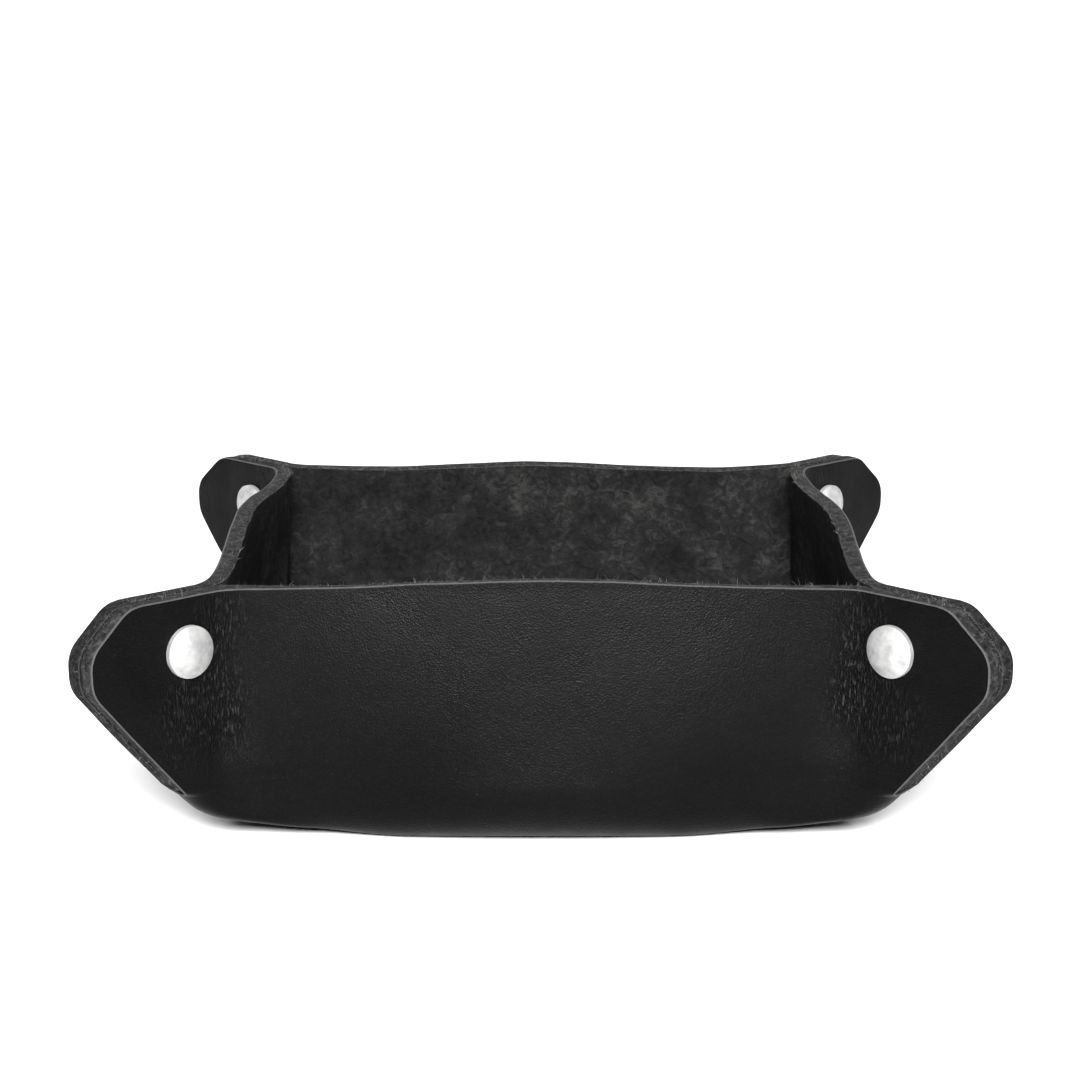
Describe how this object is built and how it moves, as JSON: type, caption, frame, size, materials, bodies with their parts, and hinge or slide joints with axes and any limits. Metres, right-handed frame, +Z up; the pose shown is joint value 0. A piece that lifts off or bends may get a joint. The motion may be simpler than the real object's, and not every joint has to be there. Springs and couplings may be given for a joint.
{
  "type": "valet tray",
  "caption": "Square leather valet tray with upright walls, its corners pinched into ears and held by double-cap rivets",
  "frame": {"origin": "on the underside, at the middle of the tray, where it rests on the table", "axes": "+Z up; +X to the right and -Y towards the viewer, each square to two opposite walls"},
  "size_m": [0.1706, 0.1706, 0.0519],
  "materials": {
    "leather": "black full-grain leather, pebbled grain outside, brushed suede flesh side inside",
    "rivet_cap": "satin silver-white plated cap",
    "rivet_core": "plain plated sheet steel"
  },
  "bodies": {
    "root": {"leather_tray": "leather", "front_left_rivet_cap": "rivet_cap", "front_left_rivet_side_cap": "rivet_cap", "front_right_rivet_cap": "rivet_cap", "front_right_rivet_side_cap": "rivet_cap", "back_left_rivet_cap": "rivet_cap", "back_left_rivet_side_cap": "rivet_cap", "back_right_rivet_cap": "rivet_cap", "back_right_rivet_side_cap": "rivet_cap", "front_left_rivet_post": "rivet_core", "front_right_rivet_post": "rivet_core", "back_left_rivet_post": "rivet_core", "back_right_rivet_post": "rivet_core", "front_left_rivet_socket": "rivet_core", "front_right_rivet_socket": "rivet_core", "back_left_rivet_socket": "rivet_core", "back_right_rivet_socket": "rivet_core"}
  },
  "joints": []
}
